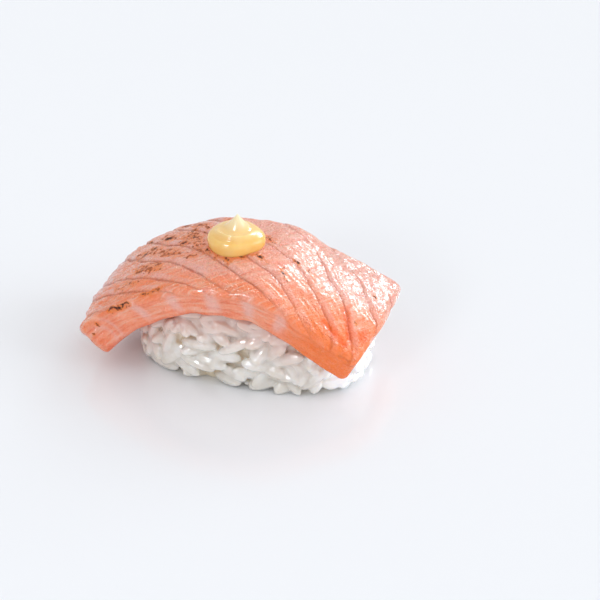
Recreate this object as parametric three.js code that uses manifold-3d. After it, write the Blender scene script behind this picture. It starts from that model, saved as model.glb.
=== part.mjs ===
// Seared salmon nigiri, one piece: a hand-pressed loaf of rice, a thick slice of salmon draped
// over it, and a dollop of egg-yolk sauce with a drawn-up tip. Millimetres, +Z up. The origin is
// the middle of the rice's flat base, +X runs along the slice and -Y is the side that faces
// the viewer. The slice's left end hangs free, well past the rice.
import * as THREE from 'three';
import { mergeVertices } from 'three/addons/utils/BufferGeometryUtils.js';
import Module from 'manifold-3d';

const wasm = await Module();
wasm.setup();

const degree = Math.PI / 180;

// The slice, laid flat: u runs along it from its left end, y across it from the front edge.
const slice = {
  length: 67.8,
  halfWidth: 15.0,
  thickness: 5.9,
  leftEndSwell: { thickness: 8.2, from: 26, over: 25 },
  rimReach: 1.4,
  rimSquareness: 3.5,
  rimSteps: [0, 0.08, 0.3, 0.65],
  innerColumns: 13,
  cornerRadius: 1.9,
  sideways: -1.1,
  endSlant: 2.2,
  endBulge: 2.2,
  endNotch: 0.9,
};

// How the slice bends over the rice: it hangs steeply at the left, crowns, then slopes off.
const drape = {
  leftSlope: 47 * degree,
  leftBend: [8.5, 37],
  rightSlope: 28 * degree,
  rightBend: [34.6, 48.7],
  crown: { x: -2.7, z: 22.0 },
  frontDroop: 3.3,
  backDroop: 1.0,
  droopPower: 2.6,
  mostAcross: 1.4,
  freeEnd: { droopShare: 0.35, from: 22, over: 16 },
  twist: { lift: 0.9, from: 46, over: 20 },
};

// The seams between the flakes of the fish. Each one leaves the front edge at "front", and has
// run "reach" back towards the left end by the time it is at the back edge. A bend under one
// flattens it at the front edge, and one over one makes it drop steeply there.
const seams = [
  { front: -25, reach: 40, bend: 0.7 },
  { front: -6, reach: 42, bend: 0.7 },
  { front: 12, reach: 42, bend: 0.7 },
  { front: 25, reach: 61, bend: 0.84 },
  { front: 32, reach: 50, bend: 0.8 },
  { front: 40, reach: 40, bend: 0.68 },
  { front: 49, reach: 41, bend: 0.7 },
  { front: 55, reach: 40, bend: 0.84 },
  { front: 60, reach: 38, bend: 1.25 },
  { front: 65, reach: 26, bend: 1.3 },
  { front: 69, reach: 20, bend: 1.9 },
  { front: 74, reach: 15, bend: 2.4 },
  { front: 88, reach: 12, bend: 2.4 },
];

// The rows of the relief across one flake: the seam itself, its raised lip on the right, the
// swell of the flake, and the dip to the next seam. A row lies "away" from the seam on its left
// or right, or a share of the flake's width from its middle.
const flakeRows = [
  { from: 'left', away: 0, height: -0.75 },
  { from: 'left', away: 0.4, height: 0.22 },
  { from: 'middle', away: -0.12, height: 0.3 },
  { from: 'middle', away: 0.2, height: 0.22 },
  { from: 'right', away: 0.8, height: 0.02 },
];
const flakeSwell = 0.3;

// The rice: a loaf with bulging sides, its grains half sunk in it.
const loaf = {
  middle: { x: -0.6, y: -0.9 },
  halfLength: 26.6,
  halfWidth: 14.8,
  height: 18.5,
  waistHeight: 6,
  squareness: 2.8,
  footShare: 0.95,
};
const riceCore = { around: 28, sunk: 1.3, levels: [0, 2.5, 6, 11, 16, 20, 22.5, 24], top: 24.2 };
const grain = { length: 8.4, width: 3.2, bluntness: 0.7, sides: 5, rings: 3 };

// How the grains lie: they keep about "room" apart, and that shrinks until all have a place.
const scatter = {
  count: 132,
  seed: 11,
  room: 4.4,
  shrink: 0.985,
  triesEach: 40,
  height: [1.4, 20.5],
  sunk: [0.5, 1.3],
  long: [0.84, 1.12],
  wide: [0.92, 1.08],
};

// The space the fish takes out of the rice: wider than the slice, and cut fine enough to bend.
const fishSpace = { gap: 0.3, margin: 12, height: 24, cut: 2.9 };

// The sauce: a low round dollop with a tip, a curled fold in front of it, and a lobe on its
// right where the nozzle swept off.
const sauce = {
  at: { u: 32.6, y: 0.8 },
  radius: 4.95,
  acrossStretch: 1.26,
  height: 4.1,
  undercut: -22 * degree,
  fullness: 0.68,
  lobe: { angle: 2 * degree, width: 0.6, reach: 1.2 },
  tip: { along: 0.6, across: 0.6, height: 3.0, radius: 2.5 },
  fold: { along: 0.4, across: -0.4, radius: 3.7, width: 0.7, height: 0.4 },
  gap: 0.3,
};

const smooth = (x) => {
  const t = Math.min(1, Math.max(0, x));
  return t * t * t * (t * (6 * t - 15) + 10);
};
const mix = (a, b, t) => a + (b - a) * t;

// The slope of the slice's middle line, positive where it rises to the right.
function slopeAt(u) {
  const [leftFrom, leftTo] = drape.leftBend;
  const [rightFrom, rightTo] = drape.rightBend;
  const rise = drape.leftSlope * (1 - smooth((u - leftFrom) / (leftTo - leftFrom)));
  const fall = drape.rightSlope * smooth((u - rightFrom) / (rightTo - rightFrom));
  return rise - fall;
}

// The middle line of the slice's underside, stepped along from the slopes, crown put in place.
function makeMiddleLine(from, to, step) {
  const points = [{ u: from, x: 0, z: 0, slope: slopeAt(from) }];
  for (let u = from + step; u <= to; u += step) {
    const last = points[points.length - 1];
    const slope = slopeAt(u - step / 2);
    points.push({
      u,
      x: last.x + Math.cos(slope) * step,
      z: last.z + Math.sin(slope) * step,
      slope: slopeAt(u),
    });
  }
  const top = points.reduce((best, p) => (p.z > best.z ? p : best));
  const shift = { x: drape.crown.x - top.x, z: drape.crown.z - top.z };
  for (const p of points) {
    p.x += shift.x;
    p.z += shift.z;
  }
  return (u) => {
    const place = Math.min(points.length - 1.001, Math.max(0, (u - from) / step));
    const a = points[Math.floor(place)];
    const b = points[Math.floor(place) + 1];
    const t = place - Math.floor(place);
    return { x: mix(a.x, b.x, t), z: mix(a.z, b.z, t), slope: mix(a.slope, b.slope, t) };
  };
}
const middleLine = makeMiddleLine(-24, 96, 0.25);

// Takes a point of the flat slice, z above its underside, to its place on the rice.
function drapePoint(u, y, z) {
  const line = middleLine(u);
  const { freeEnd, twist } = drape;
  const thick = slice.leftEndSwell;
  const across = Math.min(drape.mostAcross, Math.abs(y) / slice.halfWidth);
  const held = mix(1, freeEnd.droopShare, smooth((freeEnd.from - u) / freeEnd.over));
  const most = y < 0 ? drape.frontDroop : drape.backDroop;
  const tilt = twist.lift * (y / slice.halfWidth) * smooth((u - twist.from) / twist.over);
  const droop = most * held * across ** drape.droopPower - tilt;
  const swell = mix(1, thick.thickness / slice.thickness, smooth((thick.from - u) / thick.over));
  const lift = z * swell - droop;
  return new THREE.Vector3(
    line.x - Math.sin(line.slope) * lift,
    y + slice.sideways,
    line.z + Math.cos(line.slope) * lift,
  );
}

// Where a seam is, along the slice, at a distance from the front edge, and how it slants there.
function seamAt(seam, y) {
  const share = Math.max(0, (y + slice.halfWidth) / (2 * slice.halfWidth));
  const u = seam.front - seam.reach * share ** seam.bend;
  const nearby = share + 0.01;
  const slant = (seam.front - seam.reach * nearby ** seam.bend - u) / (0.02 * slice.halfWidth);
  return { u, stretch: Math.hypot(1, slant) };
}

// A closed mesh as a solid for joining and cutting, and back again.
function toSolid(geometry) {
  const bare = geometry.clone();
  bare.deleteAttribute('normal');
  bare.deleteAttribute('uv');
  const merged = mergeVertices(bare, 1e-4);
  return new wasm.Manifold(
    new wasm.Mesh({
      numProp: 3,
      vertProperties: new Float32Array(merged.attributes.position.array),
      triVerts: new Uint32Array(merged.index.array),
    }),
  );
}

function toGeometry(solid) {
  const mesh = solid.getMesh();
  const geometry = new THREE.BufferGeometry();
  geometry.setAttribute('position', new THREE.BufferAttribute(mesh.vertProperties, 3));
  geometry.setIndex(new THREE.BufferAttribute(mesh.triVerts, 1));
  return geometry;
}

function movePoints(geometry, place) {
  const position = geometry.attributes.position;
  for (let i = 0; i < position.count; i += 1) {
    const moved = place(position.getX(i), position.getY(i), position.getZ(i));
    position.setXYZ(i, moved.x, moved.y, moved.z);
  }
  position.needsUpdate = true;
  return geometry;
}

// A closed solid from rings of points, the lowest first, and the points that close its ends.
function ringSolid(rings, bottomPoint, topPoint) {
  const around = rings[0].length;
  const points = [...rings.flat(), bottomPoint, topPoint];
  const bottom = points.length - 2;
  const top = points.length - 1;
  const last = (rings.length - 1) * around;
  const faces = [];
  for (let i = 0; i < around; i += 1) {
    const next = (i + 1) % around;
    faces.push(bottom, next, i, top, last + i, last + next);
    for (let r = 0; r + 1 < rings.length; r += 1) {
      const a = r * around;
      const b = a + around;
      faces.push(a + i, a + next, b + next, a + i, b + next, b + i);
    }
  }
  const geometry = new THREE.BufferGeometry().setFromPoints(points);
  geometry.setIndex(faces);
  return geometry;
}

// The largest piece of a solid, without loose scraps or the walls of sealed hollows.
function mainBody(solid) {
  const bodies = solid.decompose();
  return bodies.reduce((best, body) => (body.volume() > best.volume() ? body : best));
}

// The slice's ends at a place across it. The left one is notched where the seams run out.
function leftEnd(y) {
  const t = Math.abs(y) / slice.halfWidth;
  const nearest = Math.min(...seams.map((seam) => Math.abs(seamAt(seam, y).u)));
  return cornerInset(y) - slice.endBulge * (1 - t * t) + slice.endNotch * Math.exp(-nearest);
}

function rightEnd(y) {
  return slice.length + slice.endSlant * (y / slice.halfWidth) - cornerInset(y);
}

function cornerInset(y) {
  const radius = slice.cornerRadius;
  const t = Math.max(0, (Math.abs(y) - slice.halfWidth) / radius + 1);
  return radius * (1 - Math.sqrt(1 - t * t));
}

// How full the slice is at a place in its rounded rim, from 0 at the edge to 1 past the rim.
function rimShare(t) {
  const power = slice.rimSquareness;
  return (1 - (1 - Math.min(1, t)) ** power) ** (1 / power);
}

// Where a row of the relief is at a place across the slice, between the two ends' rims.
function flakePoint(row, left, right, y) {
  const a = seamAt(left, y);
  const b = seamAt(right, y);
  const width = b.u - a.u;
  const near = Math.min(row.away * (row.from === 'left' ? a : b).stretch, width * 0.3);
  const u = {
    left: a.u + near,
    middle: a.u + width * (0.5 + row.away),
    right: b.u - near,
  }[row.from];
  const from = leftEnd(y) + slice.rimReach;
  const to = rightEnd(y) - slice.rimReach;
  if (u <= from || u >= to) return { u: Math.min(to, Math.max(from, u)), height: 0, rim: 1 };
  return { u, height: row.height, rim: 1 };
}

function makeSalmon() {
  const { halfWidth, rimReach, rimSteps, innerColumns } = slice;
  const inner = halfWidth - rimReach;
  const side = rimSteps.map((t) => ({ y: halfWidth - t * rimReach, rim: rimShare(t) }));
  const middle = Array.from({ length: innerColumns }, (_, i) => {
    return { y: mix(-inner, inner, i / (innerColumns - 1)), rim: 1 };
  });
  const front = side.map((s) => ({ y: -s.y, rim: s.rim }));
  const columns = [...front, ...middle, ...side.reverse()];
  const rows = rimSteps.map((t) => (y) => {
    return { u: leftEnd(y) + t * rimReach, height: 0, rim: rimShare(t) };
  });
  for (let i = 0; i + 1 < seams.length; i += 1) {
    for (const row of flakeRows) rows.push((y) => flakePoint(row, seams[i], seams[i + 1], y));
  }
  for (const t of rimSteps.toReversed()) {
    rows.push((y) => ({ u: rightEnd(y) - t * rimReach, height: 0, rim: rimShare(t) }));
  }
  const half = slice.thickness / 2;
  const grid = (face) => rows.map((row) => columns.map((column) => {
    const p = row(column.y);
    const rim = Math.min(p.rim, column.rim);
    const rise = face > 0 ? half + p.height : half;
    return drapePoint(p.u, column.y, half + face * rim * rise);
  }));
  const mesh = new THREE.Mesh(
    sheetSolid(grid(1), grid(-1)),
    new THREE.MeshStandardMaterial({ color: 0xe88a68, roughness: 0.32, metalness: 0 }),
  );
  mesh.name = 'salmon';
  return mesh;
}

// A closed solid from an upper and a lower grid of points that share their outer edge.
function sheetSolid(upper, lower) {
  const columns = upper[0].length;
  const under = upper.length * columns;
  const faces = [];
  for (let r = 0; r + 1 < upper.length; r += 1) {
    for (let c = 0; c + 1 < columns; c += 1) {
      const a = r * columns + c;
      const b = a + columns;
      faces.push(a, b, b + 1, a, b + 1, a + 1);
      faces.push(under + a, under + b + 1, under + b, under + a, under + a + 1, under + b + 1);
    }
  }
  const geometry = new THREE.BufferGeometry().setFromPoints([...upper.flat(), ...lower.flat()]);
  geometry.setIndex(faces);
  return toGeometry(toSolid(geometry));
}

// A steady stream of numbers from 0 to 1 from a whole-number seed.
function randomFrom(seed) {
  let state = seed;
  return () => {
    state = (state * 1664525 + 1013904223) % 4294967296;
    return state / 4294967296;
  };
}

// A point of the loaf's skin: angle round it, height above the table, and how far it is sunk.
function loafPoint(angle, z, sunk) {
  const power = 2 / loaf.squareness;
  const c = Math.cos(angle);
  const s = Math.sin(angle);
  const rise = Math.max(0, (z - loaf.waistHeight) / loaf.height);
  const undercut = Math.max(0, (loaf.waistHeight - z) / loaf.waistHeight);
  const lean = (1 - rise ** loaf.squareness) ** (1 / loaf.squareness);
  const share = lean * mix(1, loaf.footShare, undercut ** 2);
  return new THREE.Vector3(
    loaf.middle.x + Math.sign(c) * Math.abs(c) ** power * (loaf.halfLength * share - sunk),
    loaf.middle.y + Math.sign(s) * Math.abs(s) ** power * (loaf.halfWidth * share - sunk),
    z,
  );
}

function makeRiceCore() {
  const { around, sunk, levels, top } = riceCore;
  const rings = levels.map((z) => Array.from({ length: around }, (_, i) => {
    return loafPoint((i / around) * 2 * Math.PI, z, sunk);
  }));
  const axis = (z) => new THREE.Vector3(loaf.middle.x, loaf.middle.y, z);
  return ringSolid(rings, axis(0), axis(top));
}

function makeFishSpace() {
  const { gap, margin, height, cut } = fishSpace;
  const long = slice.length + 2 * margin;
  const wide = 2 * (slice.halfWidth + margin);
  const cuts = [Math.round(long / cut), Math.round(wide / cut), 1];
  const block = new THREE.BoxGeometry(long, wide, height, ...cuts);
  block.translate(slice.length / 2, 0, height / 2 - gap);
  return movePoints(block, drapePoint);
}

// Everything above the table, as far as the rice can reach.
function makeRoomAboveTable() {
  const size = { x: 4 * loaf.halfLength, y: 4 * loaf.halfWidth, z: 2 * riceCore.top };
  return new THREE.BoxGeometry(size.x, size.y, size.z).translate(0, 0, size.z / 2);
}

// One grain with its middle on the skin, lying against it, turned by "turn" from level.
function makeGrain(angle, z, turn, sunk, size) {
  const centre = loafPoint(angle, z, sunk);
  const along = loafPoint(angle + 0.02, z, sunk).sub(centre).normalize();
  const upward = loafPoint(angle, z + 0.5, sunk).sub(centre).normalize();
  const outward = new THREE.Vector3().crossVectors(along, upward).normalize();
  const long = along.clone().multiplyScalar(Math.cos(turn)).addScaledVector(upward, Math.sin(turn));
  const side = new THREE.Vector3().crossVectors(outward, long).normalize();
  const frame = new THREE.Matrix4().makeBasis(long.normalize(), side, outward);
  const geometry = new THREE.SphereGeometry(1, grain.sides, grain.rings).rotateZ(Math.PI / 2);
  movePoints(geometry, (gx, gy, gz) => {
    return { x: Math.sign(gx) * Math.abs(gx) ** grain.bluntness, y: gy, z: gz };
  });
  geometry.scale((grain.length / 2) * size.long, (grain.width / 2) * size.wide, grain.width / 2);
  return geometry.applyMatrix4(frame).translate(centre.x, centre.y, centre.z);
}

function makeRice() {
  const random = randomFrom(scatter.seed);
  const draw = (range) => mix(...range, random());
  let rice = toSolid(makeRiceCore());
  const placed = [];
  for (let room = scatter.room; placed.length < scatter.count; room *= scatter.shrink) {
    for (let tries = 0; tries < scatter.triesEach; tries += 1) {
      const angle = draw([0, 2 * Math.PI]);
      const z = draw(scatter.height);
      const turn = draw([-Math.PI / 2, Math.PI / 2]);
      const sunk = draw(scatter.sunk);
      const size = { long: draw(scatter.long), wide: draw(scatter.wide) };
      const centre = loafPoint(angle, z, sunk);
      const isTooNear = placed.some((other) => other.distanceTo(centre) < room);
      if (isTooNear || placed.length === scatter.count) continue;
      placed.push(centre);
      rice = rice.add(toSolid(makeGrain(angle, z, turn, sunk, size)));
    }
  }
  const standing = rice.intersect(toSolid(makeRoomAboveTable()));
  const trimmed = mainBody(standing.subtract(toSolid(makeFishSpace())));
  const material = new THREE.MeshStandardMaterial({ color: 0xf1efe9, roughness: 0.45, metalness: 0 });
  const mesh = new THREE.Mesh(toGeometry(trimmed), material);
  mesh.name = 'rice';
  return mesh;
}

// A place on the dollop's skin: "up" is an angle from the undercut rim, through the widest
// place at 0, to the crest, and "angle" goes round it. The height is over the fish.
function saucePoint(up, angle) {
  const { lobe, tip, fold, fullness } = sauce;
  const rise = (a) => Math.sign(a) * Math.abs(Math.sin(a)) ** fullness;
  const turn = Math.atan2(Math.sin(angle - lobe.angle), Math.cos(angle - lobe.angle));
  const spread = sauce.radius + lobe.reach * Math.exp(-((turn / lobe.width) ** 2));
  const x = spread * Math.cos(up) * Math.cos(angle);
  const y = spread * Math.cos(up) * Math.sin(angle) * sauce.acrossStretch;
  const foot = rise(sauce.undercut);
  const dome = (sauce.height * (rise(up) - foot)) / (1 - foot);
  const fromTip = Math.hypot(x - tip.along, y - tip.across) / tip.radius;
  const peak = tip.height * Math.max(0, 1 - fromTip) ** 1.6;
  const fromFold = (Math.hypot(x - fold.along, y - fold.across) - fold.radius) / fold.width;
  const crease = Math.max(0, -Math.sin(angle)) * fold.height * Math.exp(-(fromFold ** 2));
  return { x, y, height: dome + peak + crease };
}

function makeSauce() {
  const around = 28;
  const underShares = [0.35, 0.7];
  const upSteps = [0, 0.1, 0.2, 0.3, 0.4, 0.5, 0.6, 0.7, 0.79, 0.87, 0.94];
  const seat = (x, y, height) => {
    const top = slice.thickness + flakeSwell + sauce.gap;
    return drapePoint(sauce.at.u + x, sauce.at.y + y, top + height);
  };
  const angles = Array.from({ length: around }, (_, i) => (i / around) * 2 * Math.PI);
  const underRings = underShares.map((share) => angles.map((angle) => {
    const p = saucePoint(sauce.undercut, angle);
    return seat(p.x * share, p.y * share, 0);
  }));
  const overRings = upSteps.map((step) => angles.map((angle) => {
    const p = saucePoint(mix(sauce.undercut, Math.PI / 2, step), angle);
    return seat(p.x, p.y, p.height);
  }));
  const crest = saucePoint(Math.PI / 2, 0);
  const ends = [seat(0, 0, 0), seat(crest.x, crest.y, crest.height)];
  const geometry = ringSolid([...underRings, ...overRings], ...ends);
  const material = new THREE.MeshStandardMaterial({ color: 0xf2d58c, roughness: 0.22, metalness: 0 });
  const mesh = new THREE.Mesh(geometry, material);
  mesh.name = 'sauce';
  return mesh;
}

const nigiri = new THREE.Group();
nigiri.add(makeRice(), makeSalmon(), makeSauce());

export default nigiri;
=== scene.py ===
# Seared salmon nigiri: a pressed loaf of rice grains, a draped slice of salmon with its flake
# seams, and a dollop of egg-yolk sauce. The shapes are worked out in millimetres, in the frame.
import math
from types import SimpleNamespace

import bpy
import numpy as np
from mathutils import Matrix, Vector


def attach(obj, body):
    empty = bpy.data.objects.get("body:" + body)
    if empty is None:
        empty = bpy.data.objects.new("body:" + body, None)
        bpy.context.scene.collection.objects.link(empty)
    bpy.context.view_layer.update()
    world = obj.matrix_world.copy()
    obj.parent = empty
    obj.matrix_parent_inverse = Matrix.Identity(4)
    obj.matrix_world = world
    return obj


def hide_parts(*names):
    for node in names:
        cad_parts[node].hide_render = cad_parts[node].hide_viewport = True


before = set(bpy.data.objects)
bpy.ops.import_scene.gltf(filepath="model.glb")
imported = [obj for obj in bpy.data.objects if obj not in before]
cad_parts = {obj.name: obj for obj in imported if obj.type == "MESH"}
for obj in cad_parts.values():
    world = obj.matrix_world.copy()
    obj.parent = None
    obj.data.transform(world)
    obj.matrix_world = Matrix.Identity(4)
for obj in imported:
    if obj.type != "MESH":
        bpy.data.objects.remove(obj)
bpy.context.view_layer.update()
mm = 0.001
bpy.ops.object.select_all(action="DESELECT")


def smooth(x):
    t = np.clip(x, 0, 1)
    return t * t * t * (t * (6 * t - 15) + 10)


# Rises softly from 0 at begin to 1 one length further on, or further back if that is below zero
def ramp(x, begin, length):
    return smooth((x - begin) / length)


def mix(a, b, t):
    return a + (b - a) * t


def bell(x, width):
    return np.exp(-((x / width) ** 2))


# Soft uneven values from about -1 to 1, from a few waves in seeded directions
def ripple(points, size, seed, waves=7):
    draw = np.random.default_rng(seed)
    total = np.zeros(len(points))
    for _ in range(waves):
        direction = draw.normal(size=points.shape[1])
        direction *= 2 * math.pi / (size * np.linalg.norm(direction)) * draw.uniform(0.7, 1.4)
        total += np.sin(points @ direction + draw.uniform(0, 2 * math.pi))
    return total / math.sqrt(waves)


# The slice as it lies flat: u along it from the left end, y across it, z up from its underside
fish = {
    "length": 67.8,
    "halfWidth": 15.0,
    "thickness": 5.9,
    "leftEndSwell": (8.2, 26, 25),  # thickness there, where it starts, over what length
    "rim": 1.0,
    "cornerRadius": 1.2,
    "endSlant": 0.9,
    "rightBow": 0.7,
    "rightNotch": (0.6, 0.6),  # how deep and how wide the seams notch the right end
    "endBulge": 2.12,
    "endNotch": 1.1,
    "nib": (1.3, -12.5, 1.1),  # a point on the left end: how far it sticks out, its y and width
    "nibRise": (0.5, 0.3),
    "endBelly": (0.6, 0.4, 0.3),  # how far the front corner swells, at what share of the height, width
    "bellyFront": (-11.5, -2.5),
    "upperSkin": (-1.7, 1.5),  # from the top face down: where it starts, over what height
    "cutFace": (-1.3, 1.1),
    "sideways": -1.1,
    "gridAlong": 280,
    "gridAcross": 124,
    "sideSteps": 18,
}

# How the slice bends over the rice
drape = {
    "leftSlope": math.radians(47),
    "leftBend": (8.5, 37),
    "rightSlope": math.radians(28),
    "rightBend": (34.6, 48.7),
    "crown": (-2.7, 22.0),
    "frontDroop": 3.3,
    "backDroop": 1.0,
    "droopPower": 2.6,
    "mostAcross": 1.4,
    "freeEnd": (0.35, 22, 16),  # share of the droop left there, where it starts, over what length
    "twist": (0.9, 46, 20),  # lift of the back edge, where it starts, over what length
}

# Each seam leaves the front edge at the first value, and has run back by the second one at the
# back edge. The third is how it curves on the way.
seams = [
    (-25, 40, 0.7),
    (-6, 42, 0.7),
    (12, 42, 0.7),
    (25, 61, 0.84),
    (32, 50, 0.8),
    (40, 40, 0.68),
    (49, 41, 0.7),
    (55, 40, 0.84),
    (60, 38, 1.25),
    (65, 26, 1.3),
    (69, 20, 1.9),
    (74, 15, 2.4),
    (88, 12, 2.4),
]

# How the seams wander off those curves: how far, how fast along y, how unlike one another
seamWander = [(0.35, 0.55, 1.7), (0.15, 1.3, 1)]

farAway = 99.0  # stands for no seam there, or nothing overhead


def slopeAt(u):
    leftFrom, leftTo = drape["leftBend"]
    rightFrom, rightTo = drape["rightBend"]
    rise = drape["leftSlope"] * (1 - smooth((u - leftFrom) / (leftTo - leftFrom)))
    return rise - drape["rightSlope"] * smooth((u - rightFrom) / (rightTo - rightFrom))


# The middle line of the slice's underside: where it is and how it slopes at each u
def makeMiddleLine(start=-24, end=96, step=0.1):
    u = np.arange(start, end, step)
    slope = slopeAt(u)
    between = (slope[1:] + slope[:-1]) / 2
    x = np.concatenate([[0], np.cumsum(np.cos(between) * step)])
    z = np.concatenate([[0], np.cumsum(np.sin(between) * step)])
    top = z.argmax()
    crownX, crownZ = drape["crown"]
    return u, x + crownX - x[top], z + crownZ - z[top], slope


lineU, lineX, lineZ, lineSlope = makeMiddleLine()


# Takes points of the flat slice to their places on the rice
def drapePoints(u, y, z):
    slope = np.interp(u, lineU, lineSlope)
    share, heldFrom, heldOver = drape["freeEnd"]
    lift, twistFrom, twistOver = drape["twist"]
    endThick, swellFrom, swellOver = fish["leftEndSwell"]
    across = np.minimum(drape["mostAcross"], np.abs(y) / fish["halfWidth"])
    held = mix(1, share, smooth((heldFrom - u) / heldOver))
    most = np.where(y < 0, drape["frontDroop"], drape["backDroop"])
    tilt = lift * (y / fish["halfWidth"]) * smooth((u - twistFrom) / twistOver)
    droop = most * held * across ** drape["droopPower"] - tilt
    swell = mix(1, endThick / fish["thickness"], smooth((swellFrom - u) / swellOver))
    raised = z * swell - droop
    x = np.interp(u, lineU, lineX) - np.sin(slope) * raised
    return np.stack([x, y + fish["sideways"], np.interp(u, lineU, lineZ) + np.cos(slope) * raised], 1)


# The height of the slice's underside over a place on the table
def undersideAt(points):
    u = np.arange(-20, 90, 0.5)
    y = points[:, 1] - fish["sideways"]
    height = np.full(len(points), farAway)
    for low in np.unique(np.round(y)):
        row = np.abs(y - low) <= 0.5
        line = drapePoints(u, np.full_like(u, low), np.zeros_like(u))
        order = np.argsort(line[:, 0])
        height[row] = np.interp(points[row, 0], line[order, 0], line[order, 2])
    return height


def seamPosition(seam, y):
    front, reach, bend = seam
    share = np.clip((y + fish["halfWidth"]) / (2 * fish["halfWidth"]), 0, 1)
    wander = sum(far * np.sin(pace * y + unlike * front) for far, pace, unlike in seamWander)
    return front - reach * share ** bend + wander * smooth(share * 8)


def cornerInset(y):
    radius = fish["cornerRadius"]
    t = np.clip((np.abs(y) - fish["halfWidth"]) / radius + 1, 0, 1)
    return radius * (1 - np.sqrt(1 - t * t))


def leftEnd(y):
    t = np.abs(y) / fish["halfWidth"]
    nearest = np.min([np.abs(seamPosition(seam, y)) for seam in seams], axis=0)
    return cornerInset(y) - fish["endBulge"] * (1 - t * t) + fish["endNotch"] * np.exp(-nearest)


def rightEnd(y):
    t = y / fish["halfWidth"]
    deep, wide = fish["rightNotch"]
    stop = fish["length"] + fish["endSlant"] * t - fish["rightBow"] * t * t
    nearest = np.min([np.abs(seamPosition(seam, y) - stop) for seam in seams], axis=0)
    return stop - cornerInset(y) - deep * np.exp(-nearest / wide)


# For each point: how far it is from the seam on its left and on its right, and along that seam
def flakePlace(u, y):
    ys = np.linspace(-fish["halfWidth"], fish["halfWidth"], 241)
    step = ys[1] - ys[0]
    fromLeft = np.full(len(u), farAway)
    fromRight = np.full(len(u), farAway)
    along = np.zeros(len(u))
    which = np.zeros(len(u), int)
    for index, seam in enumerate(seams):
        line = seamPosition(seam, ys)
        stretch = np.hypot(1, np.gradient(line, step))
        run = np.concatenate([[0], np.cumsum(np.hypot(np.diff(line), step))])
        offset = (u - np.interp(y, ys, line)) / np.interp(y, ys, stretch)
        isRight = offset >= 0
        nearer = isRight & (offset < fromLeft)
        fromLeft[nearer] = offset[nearer]
        along[nearer] = np.interp(y, ys, run)[nearer]
        which[nearer] = index
        fromRight = np.where(~isRight & (-offset < fromRight), -offset, fromRight)
    return fromLeft, fromRight, along, which


# The dollop of sauce, in millimetres over the fish
sauce = {
    "at": (32.75, 1.15),
    "seat": 5.85,
    "radius": 4.95,
    "acrossStretch": 1.26,
    "height": 4.35,
    "undercut": math.radians(-24),
    "fullness": 0.68,
    "lobe": (math.radians(2), 0.6, 1.2),
    "tip": (0.6, 0.6, 3.12, 2.9),
    "tipPower": 1.35,
    "fold": (0.4, -0.4, 3.5, 0.45, 0.6),
    "besideFold": (0.5, 1.8),  # the hollow beside it: share of its height, how far out
    # the top of the dollop is painted paler, as painted light: from what height, over what height
    "litTop": (2.6, 4.2),
    "segments": 128,
    "rings": 96,
    "underShare": 0.14,
}

# Scorch marks from the torch on the ridges: u, y, how far they spread, how black they are
scorches = [
    (18.3, 6.9, 1.5, 1.1),
    (16.2, 8.6, 1.3, 0.5),
    (15.8, 4.8, 1.5, 0.8),
    (13.5, 3.6, 1.6, 1.0),
    (11.2, 5.2, 1.1, 0.7),
    (22.7, 7.3, 1.3, 0.8),
    (24.2, 4.2, 2.0, 0.6),
    (22.8, 2.3, 1.5, 0.7),
    (23.7, 9.9, 1.6, 0.7),
    (25.4, 8.0, 1.1, 0.7),
    (25.6, 0.4, 1.5, 0.5),
    (26.9, -2.2, 1.5, 0.6),
    (28.3, -2.8, 1.2, 0.8),
    (26.0, -4.7, 0.7, 0.7),
    (19.2, 0.2, 1.9, 0.5),
    (20.9, -1.6, 1.9, 0.5),
    (16.5, -3.9, 1.3, 0.7),
    (19.0, -4.9, 1.2, 0.7),
    (15.6, -5.6, 1.7, 0.6),
    (17.9, -6.4, 1.4, 0.5),
    (14.3, -8.8, 1.6, 0.7),
    (12.0, -9.2, 1.0, 0.4),
    (10.5, -8.5, 0.8, 0.6),
    (6.8, -1.0, 1.0, 0.6),
    (30.6, -4.6, 1.4, 0.6),
    (33.0, -5.4, 1.3, 0.7),
    (35.6, -3.6, 1.2, 0.7),
    (38.4, 5.6, 1.3, 0.55),
    (39.6, 4.6, 0.7, 0.5),
    (38.9, -2.7, 1.0, 1.0),
    (43.6, -5.5, 1.0, 1.1),
    (44.9, 0.5, 0.6, 0.9),
    (47.6, -0.4, 0.6, 1.0),
    (48.9, -1.2, 1.0, 0.5),
    (63.3, 4.3, 0.6, 1.0),
    (65.4, 1.0, 0.6, 1.0),
    (61.9, -6.8, 0.5, 0.8),
    (20.0, 12.5, 1.4, 0.8),
    (28.5, 12.4, 1.2, 0.5),
    (11.6, 11.8, 1.0, 0.7),
    (34.5, 10.5, 1.0, 0.4),
]

# Thin burnt streaks along the front rim: from u, to u, y, how wide, how black
burntRim = [(9.3, 14.2, -14.5, 0.27, 0.92), (17.6, 19.4, -13.6, 0.3, 0.9), (19.2, 21.4, -13.4, 0.3, 0.55)]

# Burnt spots on the front face: u, height above the underside, how far they spread, how black
faceSpots = [(4.8, 4.9, 0.6, 0.85), (2.0, 3.8, 0.45, 0.7)]

# Creases near the right tip, cut in and painted deep orange as their shade: from u, y to u, y, how wide, how
# deep
creases = [((55.3, -11.0), (61.8, -12.6), 0.55, 0.3), ((58.6, -4.8), (62.2, -10.7), 0.6, 0.45)]

# Pale bands of fat where the seams come out at the cut faces: u at the front, and their width
fatBands = [(14.6, 1.1), (22.8, 1.3), (31.6, 1.5), (39.6, 1.4), (46.9, 1.3)]

# The growth rings that show at the left of the front face
endRings = {
    "middle": (3.6, 2.2),
    "radii": (4.1, 2.2),
    "width": 0.5,
    "openFrom": (-1.5, 2),  # they are open on their left
    "wobble": (0.3, 3),
    "end": (9.5, -2),
    "share": 0.6,
}


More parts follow.
